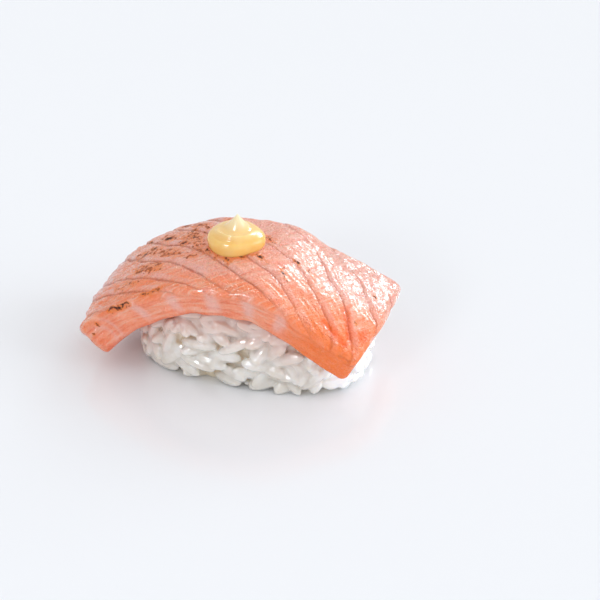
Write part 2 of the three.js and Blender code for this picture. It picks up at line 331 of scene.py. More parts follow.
def fromLine(u, y, begin, end):
    begin, end = np.array(begin), np.array(end)
    run = end - begin
    away = np.stack([u, y], 1) - begin
    share = np.clip(away @ run / (run @ run), 0, 1)
    return np.linalg.norm(away - share[:, None] * run, axis=1)


def addAttribute(mesh, name, values):
    layer = mesh.attributes.new(name, "FLOAT", "POINT")
    layer.data.foreach_set("value", np.asarray(values, np.float32))


def setPoints(mesh, points):
    mesh.vertices.foreach_set("co", (points * mm).astype(np.float32).ravel())
    mesh.update()


def getPoints(mesh):
    points = np.zeros(len(mesh.vertices) * 3, np.float32)
    mesh.vertices.foreach_get("co", points)
    return points.reshape(-1, 3).astype(float) / mm


def editMode(isOn):
    bpy.ops.object.mode_set(mode="EDIT" if isOn else "OBJECT")


def finishPiece(piece, node):
    bpy.ops.object.select_all(action="DESELECT")
    piece.select_set(True)
    bpy.context.view_layer.objects.active = piece
    bpy.ops.object.shade_smooth()
    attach(piece, "root")
    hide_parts(node)
    piece.select_set(False)


def makeFish():
    length, halfWidth, thickness = fish["length"], fish["halfWidth"], fish["thickness"]
    bpy.ops.mesh.primitive_grid_add(
        x_subdivisions=fish["gridAlong"],
        y_subdivisions=fish["gridAcross"],
        size=1,
        location=(0.5 * length * mm, 0, thickness * mm),
    )
    piece = bpy.context.object
    piece.name = "salmonSlice"
    editMode(True)
    bpy.ops.mesh.select_all(action="SELECT")
    bpy.ops.transform.resize(value=(length * mm, 2 * halfWidth * mm, 1))
    for _ in range(fish["sideSteps"]):
        down = (0, 0, -thickness * mm / fish["sideSteps"])
        bpy.ops.mesh.extrude_region_move(TRANSFORM_OT_translate={"value": down})
    bpy.ops.mesh.select_all(action="SELECT")
    bpy.ops.mesh.normals_make_consistent(inside=False)
    editMode(False)
    bpy.ops.object.transform_apply(location=True, rotation=True, scale=True)
    shapeFish(piece.data)
    return piece


# Relief of the slice: heights, then sizes or widths. A pair for a ramp is where it starts and over
# what length it grows, in all the dictionaries here.
fishRelief = {
    "frontFade": (4.5, 0.3),  # over what width, and the share left at the front rim
    "darkSeams": (12, 0.5, 30),  # where they start, how that slants with y, over what length
    "backFade": (0.8, (3, 7), (38, 9)),
    "strength": (0.75, 0.4, 7),  # mean, how uneven, over what size
    "strengthLimits": (0.1, 1.2),
    "groove": (0.26, 0.2, 0.2),  # depth at the left, depth at the right, width
    "valley": (0.2, 0.12, 0.38),
    "lip": (0.1, 1.3, 0.6),  # height, how far right of the seam, width
    "flake": (0.2, 0.6, 6, 0.5),  # height, lean of its crest, a full one's width, share at the front
    "waves": (0.05, 2.6, 0.35, 1.6),  # and how they stretch along and across the flake
    "broadBumps": (0.16, 14),
    "fineBumps": (0.05, 3.2),
    "sideBumps": (0.14, 7, (12, 3)),
    "ends": (2.5, 2, 0.2, 0.35),  # length of the left and the right one, share of bumps, sag
}


# Rounds the slab's edges, cuts the seams into it, and lays it over the rice
def shapeFish(mesh):
    here = findPlaces(roundSlab(getPoints(mesh)))
    raised = raiseFlakes(here)
    u, y, z = here.u, here.y, here.z
    broad, broadSize = fishRelief["broadBumps"]
    fine, fineSize = fishRelief["fineBumps"]
    leftOver, rightOver, bumpShare, sag = fishRelief["ends"]
    sideHigh, sideSize, sideRamp = fishRelief["sideBumps"]
    uneven = broad * ripple(here.plan, broadSize, 8) + fine * ripple(np.stack([u, y, z], 1), fineSize, 9)
    inside = smooth((u - here.start) / leftOver) * smooth((here.stop - u) / rightOver)
    uneven = uneven * (z / fish["thickness"]) * mix(bumpShare, 1, inside)
    here.z = z + here.isUpper * raised + uneven - sag * (1 - inside) * here.isUpper
    sideBumps = sideHigh * ripple(np.stack([u, here.z], 1), sideSize, 12)
    here.y = y + sideBumps * np.sign(y) * ramp(np.abs(y), *sideRamp)
    setPoints(mesh, drapePoints(u, here.y, here.z))
    paintFish(mesh, here)
    mapFish(mesh, here)


def roundSlab(flat):
    rim = fish["rim"]
    high = np.array([fish["length"], fish["halfWidth"], fish["thickness"]])
    low = np.array([0, -fish["halfWidth"], 0])
    inner = np.clip(flat, low + rim, high - rim)
    out = flat - inner
    return inner + rim * out / np.maximum(1e-9, np.linalg.norm(out, axis=1))[:, None]


# Where each point of the slab belongs on the slice, and where it is beside the seams
def findPlaces(flat):
    here = SimpleNamespace(y=flat[:, 1], z=flat[:, 2])
    rise = np.clip(here.z / fish["thickness"], 0, 1)
    sticksOut, nibY, nibWidth = fish["nib"]
    swells, bellyRise, bellyWidth = fish["endBelly"]
    nib = sticksOut * bell(here.y - nibY, nibWidth) * ramp(rise, *fish["nibRise"])
    belly = swells * bell(rise - bellyRise, bellyWidth) * ramp(here.y, *fish["bellyFront"])
    here.start = leftEnd(here.y) - nib - belly
    here.stop = rightEnd(here.y)
    here.u = mix(here.start, here.stop, flat[:, 0] / fish["length"])
    here.plan = np.stack([here.u, here.y], 1)
    here.fromLeft, here.fromRight, here.along, here.which = flakePlace(here.u, here.y)
    here.width = np.maximum(0.5, here.fromLeft + here.fromRight)
    here.share = here.fromLeft / here.width
    here.isUpper = ramp(here.z - fish["thickness"], *fish["upperSkin"])
    here.isSide = 1 - ramp(here.z - fish["thickness"], *fish["cutFace"])
    return here


# A narrow groove at each seam, a raised lip on its right and a swelling flake between
def raiseFlakes(here):
    u, y = here.u, here.y
    fadeOver, frontShare = fishRelief["frontFade"]
    darkFrom, darkSlant, darkOver = fishRelief["darkSeams"]
    fadeShare, fadeY, fadeU = fishRelief["backFade"]
    mean, uneven, size = fishRelief["strength"]
    nearFront = ramp(y, -fish["halfWidth"], fadeOver)
    strength = np.clip(mean + uneven * ripple(here.plan, size, 3), *fishRelief["strengthLimits"])
    strength *= mix(frontShare, 1, nearFront)
    strength *= 1 - fadeShare * ramp(y, *fadeY) * ramp(u, *fadeU)
    here.strength = strength
    here.seamDark = smooth((u - darkFrom - darkSlant * y) / darkOver)

    leftDepth, rightDepth, wide = fishRelief["valley"]
    valley = mix(leftDepth, rightDepth, here.seamDark) * bell(here.fromRight, wide)
    leftDepth, rightDepth, wide = fishRelief["groove"]
    groove = mix(leftDepth, rightDepth, here.seamDark) * bell(here.fromLeft, wide)
    groove = strength * np.maximum(groove, valley)
    for begin, end, wide, depth in creases:
        groove = np.maximum(groove, depth * bell(fromLine(u, y, begin, end), wide))
    high, away, wide = fishRelief["lip"]
    lip = high * strength * bell(here.fromLeft - away, wide)
    high, lean, fullWidth, frontShare = fishRelief["flake"]
    flake = high * np.sin(math.pi * np.clip(here.share, 0, 1) ** lean)
    flake = flake * mix(frontShare, 1, nearFront) * np.clip(here.width / fullWidth, 0, 1)
    high, size, stretchAlong, stretchAcross = fishRelief["waves"]
    nearEdge = np.minimum(1, np.minimum(here.fromLeft, here.fromRight))
    stretched = np.stack([stretchAlong * here.along, stretchAcross * here.fromLeft], 1)
    waves = high * ripple(stretched, size, 5) * nearEdge
    return lip + flake + waves - groove


# Where the colour changes. A spot is: how strong, its middle, how far it spreads, how far the
# first way is stretched.
tones = {
    "front": (-13.2, -1.2),
    "right": (38, 24),
    # The darker red-orange along the lower edge of the cut face, where it meets the rice, is painted contact
    # shade
    "lowEdgeShade": (1.1, -0.9),
    # The pale lilac on the left end is a painted sheen, a painted reflection of the sky on its steep slope
    "endSheen": ((9, -9), (-9, 8)),
    "wetRim": (-13.2, 1.3),
    "wetEnd": ((62.5, 3), (-5, -3)),
    "warmFront": (-3, -10),
    "warmEnd": (0.45, (61, 4), (4, -8)),
    "warmSpot": (0.4, (17, -11.5), 2.6, 0.5),
    # The deep orange at the right tip and on the front face is a painted glow; along the creases it is
    # painted shade
    "glowTip": (0.9, (64.5, -8.5), 1.7, 1),
    "glowFace": (0.6, (2.1, 2.4), 1.3, 1),
    "creaseShadeSpread": 1.5,
    "pale": (0.27, 0.012),  # everywhere, and more for each millimetre to the back
    "paleMiddle": (0.25, (15, 10)),
    "orangeFront": (0.3, (-8, -5)),
    "paleSpot": (0.3, (31, -9.5), 3.2, 0.7),
    "paleRight": (0.5, (-6, 9), 0.34),
}


def spot(a, b, strong, middle, spread, stretch):
    return strong * bell(np.hypot(stretch * (a - middle[0]), b - middle[1]), spread)


# Masks for the finish, one value at each point
def paintFish(mesh, here):
    u, y, z = here.u, here.y, here.z
    here.isFront = ramp(y, *tones["front"])
    here.rightShare = ramp(u, *tones["right"])
    scorchAndSauceShadow, char = burnMasks(here)
    leftRamp, rightRamp, frontRamp = torch["crests"]
    crest = np.sin(math.pi * here.share) ** 2 * ramp(u, *leftRamp) * ramp(u, *rightRamp) * ramp(y, *frontRamp)
    middle, wide = tones["wetRim"]
    wetEndU, wetEndY = tones["wetEnd"]
    wet = np.maximum(bell(y - middle, wide), ramp(u, *wetEndU) * ramp(y, *wetEndY))
    # Painted sheen on the left end
    endSheenU, endSheenY = tones["endSheen"]
    masks = {
        "seam": np.clip(here.strength, 0, 1) * here.isUpper,
        "seamDark": here.seamDark,
        "cutFace": here.isSide,
        "lowEdgeShade": ramp(z, *tones["lowEdgeShade"]) * here.isSide,
        "fat": fatMask(here),
        "scorchAndSauceShadow": scorchAndSauceShadow,
        "char": char,
        "torched": crest * here.isUpper,
        "warmTip": warmMask(here),
        "glowAndCreaseShade": glowMask(here),
        "paleBack": paleMask(here),
        "endSheen": ramp(u, *endSheenU) * ramp(y, *endSheenY),
        "wetRim": wet * here.isUpper,
    }
    for name, values in masks.items():
        addAttribute(mesh, name, values)


fatLook = {
    "slant": 0.35,
    "wobble": (0.25, 5),
    "squareness": 1.4,
    "low": (0.15, (0.6, 2.4)),  # share left at the underside
    "front": (-12.5, -1.8),
    "back": (12.5, 2),
    "topShare": 0.4,
}


def fatMask(here):
    u, y, z = here.u, here.y, here.z
    face = np.stack([u, z], 1)
    high, size = fatLook["wobble"]
    slant = fatLook["slant"] * (z - fish["thickness"]) + high * ripple(face, size, 21)
    power = fatLook["squareness"]
    fat = np.max([bell(np.abs((u - at + slant) / wide) ** power, 1) for at, wide in fatBands], axis=0)
    lowShare, lowRamp = fatLook["low"]
    fat *= mix(lowShare, 1, ramp(z, *lowRamp))
    ringU, ringZ = endRings["middle"]
    fromMiddle = np.hypot(u - ringU, z - ringZ)
    rings = np.max([bell(fromMiddle - radius, endRings["width"]) for radius in endRings["radii"]], axis=0)
    begin, length = endRings["openFrom"]
    high, size = endRings["wobble"]
    rings *= smooth((u - ringU - begin) / length + high * ripple(face, size, 6))
    fat = np.maximum(fat, endRings["share"] * rings * ramp(u, *endRings["end"]))
    fat *= ramp(y, *fatLook["front"]) + ramp(y, *fatLook["back"])
    return fat * mix(fatLook["topShare"], 1, here.isSide)


torch = {
    "slant": (0.73, 0.69),  # the marks lie along the ridges
    "stretch": (1.35, 0.8),
    "below": (0.4, 1.3),  # how far down the cut face they reach, how fast they end there
    "ragged": (0.22, 2.4),
    "rustPerBlack": (0.55, 0.5),
    "spreads": (1.35, 0.62),  # how far the rust and the black spread in a mark
    "rimWave": (0.12, 1.7, 2.1),
    "rimBelow": 0.6,
    "rimRust": 2.6,
    "face": (1.2, 1.5, 0.7),
    # a painted shadow round the front of the dollop: how strong, how wide, and where it fades towards the
    # back
    "sauceShadow": (0.75, 0.9, (2, -4)),
    "outer": (0.5, 0.8),
    "crests": ((3, 6), (33, -10), (-10, 4)),
}


# Where the torch has left rust, and where it has left black, with a painted shadow of the dollop, in the rust
# colour, on the fish in front of it
def burnMasks(here):
    u, y, z = here.u, here.y, here.z
    fromTop = z - fish["thickness"]
    scorchAndSauceShadow = np.zeros(len(u))
    char = np.zeros(len(u))
    long, short = torch["slant"]
    longStretch, shortStretch = torch["stretch"]
    reach, fast = torch["below"]
    ragged, raggedSize = torch["ragged"]
    rust, rustPerBlack = torch["rustPerBlack"]
    rustSpread, blackSpread = torch["spreads"]
    for at, side, spread, black in scorches:
        level = long * (u - at) - short * (y - side)
        steep = short * (u - at) + long * (y - side)
        away = np.hypot(level / longStretch, steep / shortStretch)
        away = np.hypot(away, fast * np.minimum(0, fromTop + reach))
        away *= 1 + ragged * ripple(here.plan, raggedSize, int(10 * at))
        scorchAndSauceShadow = np.maximum(scorchAndSauceShadow, bell(away, rustSpread * spread) * min(1, rust + rustPerBlack * black))
        char = np.maximum(char, bell(away, blackSpread * spread) * black)
    high, pace, size = torch["rimWave"]
    rimWave = high * np.sin(pace * u) + high * ripple(here.plan, size, 4)
    for begin, end, side, wide, black in burntRim:
        beyond = u - np.clip(u, begin, end)
        under = np.minimum(0, fromTop + torch["rimBelow"])
        away = np.sqrt(beyond ** 2 + (y - side + rimWave) ** 2 + under ** 2)
        scorchAndSauceShadow = np.maximum(scorchAndSauceShadow, bell(away, torch["rimRust"] * wide))
        char = np.maximum(char, bell(away, wide) * black)
    squash, rustSpread, blackSpread = torch["face"]
    for at, up, spread, black in faceSpots:
        away = np.hypot(u - at, squash * (z - up))
        scorchAndSauceShadow = np.maximum(scorchAndSauceShadow, bell(away, rustSpread * spread) * here.isFront)
        char = np.maximum(char, bell(away, blackSpread * spread) * black * here.isFront)
    # A painted shadow of the dollop: a rust-brown ring on the fish in front of it
    sauceU, sauceY = sauce["at"]
    fromSauce = np.hypot(u - sauceU, (y - sauceY) / sauce["acrossStretch"]) - sauce["radius"]
    strong, wide, frontRamp = torch["sauceShadow"]
    scorchAndSauceShadow = np.maximum(scorchAndSauceShadow, strong * bell(fromSauce, wide) * ramp(y, *frontRamp))
    share, length = torch["outer"]
    outer = ramp(z, share * fish["thickness"], length)
    return scorchAndSauceShadow * outer, char * outer


def warmMask(here):
    warm = here.rightShare * ramp(here.y, *tones["warmFront"])
    strong, endU, endY = tones["warmEnd"]
    warm = np.maximum(warm, strong * ramp(here.u, *endU) * ramp(here.y, *endY))
    return np.maximum(warm, spot(here.u, here.y, *tones["warmSpot"]))


# Painted glow at the right tip and on the front face, and painted shade along the creases
def glowMask(here):
    glowAndCreaseShade = spot(here.u, here.y, *tones["glowTip"])
    for begin, end, wide, _ in creases:
        glowAndCreaseShade = np.maximum(glowAndCreaseShade, bell(fromLine(here.u, here.y, begin, end), tones["creaseShadeSpread"] * wide))
    return np.maximum(glowAndCreaseShade, spot(here.u, here.z, *tones["glowFace"]) * here.isFront)


def paleMask(here):
    u, y = here.u, here.y
    mean, perMm = tones["pale"]
    more, middleRamp = tones["paleMiddle"]
    less, frontRamp = tones["orangeFront"]
    atBack, backRamp, atRight = tones["paleRight"]
    pale = mean + perMm * y + more * ramp(u, *middleRamp) - less * ramp(y, *frontRamp)
    pale += spot(u, y, *tones["paleSpot"])
    pale += (atBack * ramp(y, *backRamp) - atRight) * here.rightShare
    return np.clip(pale, 0, 1)


fishMaps = {
    "arcMiddle": (8, 24),  # the fibres lie in arcs round this place
    "perFlake": 7.3,  # how far the fibres' pattern is moved on at each flake
    "sideSlant": 0.3,
}


# Maps along the fibres, along the layers of the cut faces, and one that counts the seams: whole
# numbers lie on them, and its second value is the flake's width
def mapFish(mesh, here):
    loops = np.zeros(len(mesh.loops), np.int32)
    mesh.loops.foreach_get("vertex_index", loops)
    arcU, arcY = fishMaps["arcMiddle"]
    radius = np.hypot(here.u - arcU, here.y - arcY)
    turn = np.arctan2(here.y - arcY, here.u - arcU)
    maps = {
        "fibres": (radius + fishMaps["perFlake"] * here.which, turn * radius),
        "side": (here.u, here.z + fishMaps["sideSlant"] * here.y),
        "seamCount": (here.which + here.share, here.width),
    }
    for name, pair in maps.items():
        layer = mesh.uv_layers.new(name=name)
        layer.data.foreach_set("uv", np.stack(pair, 1)[loops].astype(np.float32).ravel())


# The loaf of rice
loaf = {
    "middle": (-0.6, -0.9),
    "halfLength": 26.6,
    "halfWidth": 14.8,
    "height": 18.5,
    "waistHeight": 6.0,
    "squareness": 2.8,
    "footShare": 0.95,
    "coreTop": 21.5,
    "coreSunk": (2.9, 1.8),  # at the foot and near the top
    "coreRise": (6, 7),
    "coreBumps": (0.45, 4.5, 20),  # height and size, and how far out they are that high
    "fishGap": 0.05,
    "floorGap": 0.02,
}

grains = {
    "length": 8.6,
    "width": 3.4,
    "depth": 2.9,
    "lengths": (0.82, 1.12),  # least and most share of these sizes
    "widths": (0.88, 1.1),
    "depths": (0.9, 1.12),
    "bow": (-0.35, 0.7, 0.4),  # least and most, and what it is measured from
    "bluntness": 0.82,
    "taper": 0.1,
    "segments": 8,
    "rings": 8,
    "layers": [(170, 1.2, 1.9), (110, 3.2, 4.2)],  # how many, and how deep in the loaf's skin
    "seed": 24,
    "height": (1.2, 21.5),
    "room": 2.7,
    "squeeze": (80, 0.985),  # after how many tries the room shrinks, and to what share
    "stations": (0.38, 5),  # how far out along a grain room is kept, and at how many places
    "turn": 48,
    "lean": 20,
    "roofGap": 0.4,
    "footGap": 0.9,
    "proud": 0.35,  # how far a grain may stick out of the loaf's skin
    "voxel": 0.25,
    "triangles": 185000,
}

riceTones = {
    "skinTop": 19,  # over this height the depth in the skin isn't measured
    # deep is painted shade: the rice turns a darker warm tan in its crevices, below the loaf's skin
    "deep": (1.0, 2.4),
    # painted shade, with pink light reflected from the fish, on the rice just under it
    "shadeUnderFish": (13, (18, -12)),
    # the right end of the rice is painted near white, as painted light
    "litRightEnd": (14, 8),
    # foot is painted shade: the rice is darker towards the bottom
    "foot": (8, -8),
}


# Points of the loaf's skin, at an angle round it and a height above the table
def loafPoints(angle, z, sunk):
    power = 2 / loaf["squareness"]
    rise = np.clip((z - loaf["waistHeight"]) / loaf["height"], 0, 1)
    undercut = np.clip((loaf["waistHeight"] - z) / loaf["waistHeight"], 0, 1)
    lean = (1 - rise ** loaf["squareness"]) ** (1 / loaf["squareness"])
    share = lean * mix(1, loaf["footShare"], undercut ** 2)
    c, s = np.cos(angle), np.sin(angle)
    x = loaf["middle"][0] + np.sign(c) * np.abs(c) ** power * (loaf["halfLength"] * share - sunk)
    y = loaf["middle"][1] + np.sign(s) * np.abs(s) ** power * (loaf["halfWidth"] * share - sunk)
    return np.stack([x, y, z + 0 * x], 1)


# Flattens what would reach into the table or the fish
def pressRice(points):
    top = undersideAt(points) - loaf["fishGap"]
    points[:, 2] = np.minimum(points[:, 2], top)
    points[:, 2] = np.maximum(points[:, 2], loaf["floorGap"])
    return points


# How far out points are, as a share of the way to the loaf's skin
def reachOf(points):
    rise = np.clip((points[:, 2] - loaf["waistHeight"]) / loaf["height"], 0, 0.97)
    undercut = np.clip((loaf["waistHeight"] - points[:, 2]) / loaf["waistHeight"], 0, 1)
    power = loaf["squareness"]
    share = (1 - rise ** power) ** (1 / power) * mix(1, loaf["footShare"], undercut ** 2)
    away = points[:, :2] - np.array(loaf["middle"])
    size = np.array([loaf["halfLength"], loaf["halfWidth"]]) * share[:, None]
    return (np.abs(away / size) ** power).sum(axis=1) ** (1 / power)


# How far points stick out of the loaf's skin, level, in millimetres
def stickOut(points):
    reach = reachOf(points)
    away = np.hypot(*(points[:, :2] - np.array(loaf["middle"])).T)
    return away * (1 - 1 / np.maximum(reach, 0.01))


def makeRiceCore():
    bpy.ops.mesh.primitive_cylinder_add(vertices=72, radius=1, depth=2, end_fill_type="TRIFAN")
    piece = bpy.context.object
    piece.name = "riceCore"
    editMode(True)
    bpy.ops.mesh.select_all(action="SELECT")
    bpy.ops.mesh.subdivide(number_cuts=9)
    editMode(False)
    drum = getPoints(piece.data) * mm
    angle = np.arctan2(drum[:, 1], drum[:, 0])
    z = (drum[:, 2] + 1) / 2 * loaf["coreTop"]
    skin = loafPoints(angle, z, mix(*loaf["coreSunk"], ramp(z, *loaf["coreRise"])))
    middle = np.array([*loaf["middle"], 0])
    radius = np.hypot(drum[:, 0], drum[:, 1])
    points = middle + (skin - middle) * np.minimum(1, radius)[:, None]
    points[:, 2] = z
    high, size, far = loaf["coreBumps"]
    bumps = high * ripple(points, size, 31, waves=12)
    points[:, :2] += (points[:, :2] - middle[:2]) / far * bumps[:, None]
    setPoints(piece.data, pressRice(points))
    editMode(True)
    bpy.ops.mesh.select_all(action="SELECT")
    bpy.ops.mesh.remove_doubles(threshold=0.00001)
    bpy.ops.mesh.normals_make_consistent(inside=False)
    editMode(False)
    return piece


# One cooked grain, its long way along X, blunt at its ends and thicker at one of them
def makeOneGrain():
    bpy.ops.mesh.primitive_uv_sphere_add(segments=grains["segments"], ring_count=grains["rings"], radius=1)
    piece = bpy.context.object
    editMode(True)
    bpy.ops.mesh.select_all(action="SELECT")
    bpy.ops.transform.rotate(value=math.radians(90), orient_axis="Y", center_override=(0, 0, 0))
    editMode(False)
    shape = getPoints(piece.data) * mm
    faces = [list(face.vertices) for face in piece.data.polygons]
    bpy.data.objects.remove(piece, do_unlink=True)
    x = np.sign(shape[:, 0]) * np.abs(shape[:, 0]) ** grains["bluntness"]
    shape[:, 1:] *= (1 + grains["taper"] * x)[:, None]
    shape[:, 0] = x
    return shape, faces


# Where the grains lie: each keeps clear of the others along its whole length, as near as it can
def placeGrains():
    draw = np.random.default_rng(grains["seed"])
    farOut, count = grains["stations"]
    stations = np.linspace(-farOut, farOut, count)[:, None] * grains["length"]
    tries, shrink = grains["squeeze"]
    placed = []
    axes = np.zeros((0, 3))
    for count, shallow, deep in grains["layers"]:
        room = grains["room"]
        enough = len(placed) + count
        while len(placed) < enough:
            for _ in range(tries):
                found = tryGrain(draw, stations, axes, room, draw.uniform(shallow, deep))
                if found is None or len(placed) == enough:
                    continue
                placed.append(found[:3] + (draw.uniform(size=6),))
                axes = np.concatenate([axes, found[3]])
            room *= shrink
        print(count, "grains placed, kept apart by", round(room, 2), "mm")
    return placed


# A grain at a drawn place, if there is room. Small steps round the skin and up it give its lie.
def tryGrain(draw, stations, axes, room, sunk):
    angle = draw.uniform(0, 2 * math.pi)
    z = draw.uniform(*grains["height"])
    turn = draw.normal(0, math.radians(grains["turn"]))
    lean = math.radians(draw.normal(0, grains["lean"]))
    here = loafPoints(np.array([angle, angle + 0.02, angle]), np.array([z, z, z + 0.5]), sunk)
    level = here[1] - here[0]
    upward = here[2] - here[0]
    outward = np.cross(level, upward)
    level, upward, outward = [v / np.linalg.norm(v) for v in (level, upward, outward)]
    if np.isnan(outward).any():
        return None
    long = math.cos(turn) * level + math.sin(turn) * upward
    long = math.cos(lean) * long + math.sin(lean) * outward
    spots = here[0] + stations * long
    roof = undersideAt(spots) - spots[:, 2]
    if roof.min() < grains["roofGap"] or spots[:, 2].min() < grains["footGap"]:
        return None
    if len(axes) and np.min(np.linalg.norm(axes[:, None] - spots[None], axis=2)) < room:
        return None
    return here[0], long, outward, spots


# One grain's points where it lies. The chances give its roll, its sizes, its end and its bow.
def layGrain(shape, centre, long, outward, chance):
    side = np.cross(outward, long)
    side /= np.linalg.norm(side)
    outward = np.cross(long, side)
    roll = chance[0] * 2 * math.pi
    across = math.cos(roll) * side + math.sin(roll) * outward
    through = np.cross(long, across)
    halfLong = 0.5 * grains["length"] * mix(*grains["lengths"], chance[1])
    halfWide = 0.5 * grains["width"] * mix(*grains["widths"], chance[2])
    halfDeep = 0.5 * grains["depth"] * mix(*grains["depths"], chance[3])
    x = shape[:, 0] * (1 if chance[4] > 0.5 else -1)
    least, most, level = grains["bow"]
    bow = mix(least, most, chance[5]) * (level - x * x)
    points = (
        centre
        + np.outer(x * halfLong, long)
        + np.outer(shape[:, 1] * halfWide + bow, across)
        + np.outer(shape[:, 2] * halfDeep, through)
    )
    away = np.array([*(centre[:2] - np.array(loaf["middle"])), 0])
    points -= away / np.linalg.norm(away) * max(0, stickOut(points).max() - grains["proud"])
    return points


def makeRiceGrains():
    shape, faces = makeOneGrain()
    allPoints = []
    allFaces = []
    for place in placeGrains():
        base = len(shape) * len(allPoints)
        allFaces += [[base + i for i in face] for face in faces]
        allPoints.append(layGrain(shape, *place))
    mesh = bpy.data.meshes.new("riceGrains")
    points = pressRice(np.concatenate(allPoints))
    mesh.from_pydata((points * mm).tolist(), [], allFaces)
    piece = bpy.data.objects.new("riceGrains", mesh)
    bpy.context.scene.collection.objects.link(piece)
    bpy.context.view_layer.objects.active = piece
    piece.select_set(True)
    editMode(True)
    bpy.ops.mesh.select_all(action="SELECT")
    bpy.ops.mesh.normals_make_consistent(inside=False)
    editMode(False)
    return piece


# Cooked rice sticks together: the grains and the core are fused where they touch
def makeRice():
    core = makeRiceCore()
    piece = makeRiceGrains()
    core.select_set(True)
    piece.select_set(True)
    bpy.context.view_layer.objects.active = piece
    bpy.ops.object.join()
    fuse = piece.modifiers.new("fuse", "REMESH")
    fuse.mode = "VOXEL"
    fuse.voxel_size = grains["voxel"] * mm
    bpy.ops.object.modifier_apply(modifier="fuse")
    thin = piece.modifiers.new("thin", "DECIMATE")
    thin.ratio = min(1, grains["triangles"] / (2 * len(piece.data.polygons)))
    bpy.ops.object.modifier_apply(modifier="thin")
    points = pressRice(getPoints(piece.data))
    setPoints(piece.data, points)
    print("rice faces", len(piece.data.polygons))
    paintRice(piece.data, points)
    return piece


def paintRice(mesh, points):
    x, z = points[:, 0], points[:, 2]
    # The depth under the skin drives the painted shade in the crevices
    depth = np.where(z < riceTones["skinTop"], -stickOut(points), 0)
    # Painted shade and pink reflected light on the rice close under the fish
    below, leftRamp = riceTones["shadeUnderFish"]
    near = smooth(1 - (undersideAt(points) - z) / below)
    # Painted light on the right end of the rice
    litRightEnd = ramp(x, *riceTones["litRightEnd"])
    addAttribute(mesh, "deep", ramp(depth, *riceTones["deep"]))
    addAttribute(mesh, "shadeUnderFish", near * ramp(x, *leftRamp))
    addAttribute(mesh, "litRightEnd", litRightEnd)
    # Painted shade towards the foot of the rice
    addAttribute(mesh, "foot", ramp(z, *riceTones["foot"]) * (1 - litRightEnd))


def makeSauce():
    bpy.ops.mesh.primitive_uv_sphere_add(segments=sauce["segments"], ring_count=sauce["rings"], radius=1)
    piece = bpy.context.object
    piece.name = "sauceDollop"
    ball = getPoints(piece.data) * mm
    angle = np.arctan2(ball[:, 1], ball[:, 0])
    fromBottom = np.arccos(np.clip(-ball[:, 2], -1, 1)) / math.pi
    isUnder = fromBottom < sauce["underShare"]
    climb = np.clip((fromBottom - sauce["underShare"]) / (1 - sauce["underShare"]), 0, 1)
    up = mix(sauce["undercut"], math.pi / 2, climb)
    x, y, height = saucePoint(up, angle)
    inward = np.where(isUnder, fromBottom / sauce["underShare"], 1)
    u, across = sauce["at"]
    points = drapePoints(u + x * inward, across + y * inward, sauce["seat"] + height * ~isUnder)
    setPoints(piece.data, points)
    # Painted light on the top of the dollop
    addAttribute(piece.data, "peak", ramp(height, *sauce["litTop"]))
    return piece


def saucePoint(up, angle):
    lobeAngle, lobeWidth, lobeReach = sauce["lobe"]
    tipX, tipY, tipHeight, tipRadius = sauce["tip"]
    foldX, foldY, foldRadius, foldWidth, foldHeight = sauce["fold"]
    hollow, hollowOut = sauce["besideFold"]

    def rise(a):
        return np.sign(a) * np.abs(np.sin(a)) ** sauce["fullness"]

    turn = np.arctan2(np.sin(angle - lobeAngle), np.cos(angle - lobeAngle))
    spread = sauce["radius"] + lobeReach * bell(turn, lobeWidth)
    x = spread * np.cos(up) * np.cos(angle)
    y = spread * np.cos(up) * np.sin(angle) * sauce["acrossStretch"]
    foot = rise(sauce["undercut"])
    dome = sauce["height"] * (rise(up) - foot) / (1 - foot)
    fromTip = np.hypot(x - tipX, y - tipY) / tipRadius
    peak = tipHeight * np.clip(1 - fromTip, 0, 1) ** sauce["tipPower"]
    fromFold = (np.hypot(x - foldX, y - foldY) - foldRadius) / foldWidth
    ridge = bell(fromFold, 1) - hollow * bell(fromFold - hollowOut, 1)
    crease = np.clip(-np.sin(angle), 0, 1) * foldHeight * ridge
    return x, y, dome + peak + crease * (up > 0)


# Finishes
def linear(red, green, blue):
    def one(v):
        v /= 255
        return v / 12.92 if v <= 0.04045 else ((v + 0.055) / 1.055) ** 2.4
    return (one(red), one(green), one(blue), 1)


# Fine grain that the fish, the rice and the sauce share, with the roughness it gives a wet surface
def makeWetGrain():
    group = bpy.data.node_groups.new("wetGrain", "ShaderNodeTree")
    group.interface.new_socket("Coordinates", in_out="INPUT", socket_type="NodeSocketVector")
    for name in ("Scale", "Detail", "Unevenness", "Smoothest", "Roughest"):
        group.interface.new_socket(name, in_out="INPUT", socket_type="NodeSocketFloat")
    for name in ("Grain", "Roughness"):
        group.interface.new_socket(name, in_out="OUTPUT", socket_type="NodeSocketFloat")
    given = group.nodes.new("NodeGroupInput").outputs
    result = group.nodes.new("NodeGroupOutput").inputs
    noise = group.nodes.new("ShaderNodeTexNoise")
    noiseInputs = {"Vector": "Coordinates", "Scale": "Scale", "Detail": "Detail", "Roughness": "Unevenness"}
    for socket, name in noiseInputs.items():
        group.links.new(given[name], noise.inputs[socket])
    spread = group.nodes.new("ShaderNodeMapRange")
    spread.interpolation_type = "SMOOTHSTEP"
    spread.inputs["From Min"].default_value = 0.3
    spread.inputs["From Max"].default_value = 0.7
    group.links.new(noise.outputs["Fac"], spread.inputs["Value"])
    group.links.new(given["Smoothest"], spread.inputs["To Min"])
    group.links.new(given["Roughest"], spread.inputs["To Max"])
    group.links.new(noise.outputs["Fac"], result["Grain"])
    group.links.new(spread.outputs["Result"], result["Roughness"])
    return group


wetGrain = makeWetGrain()


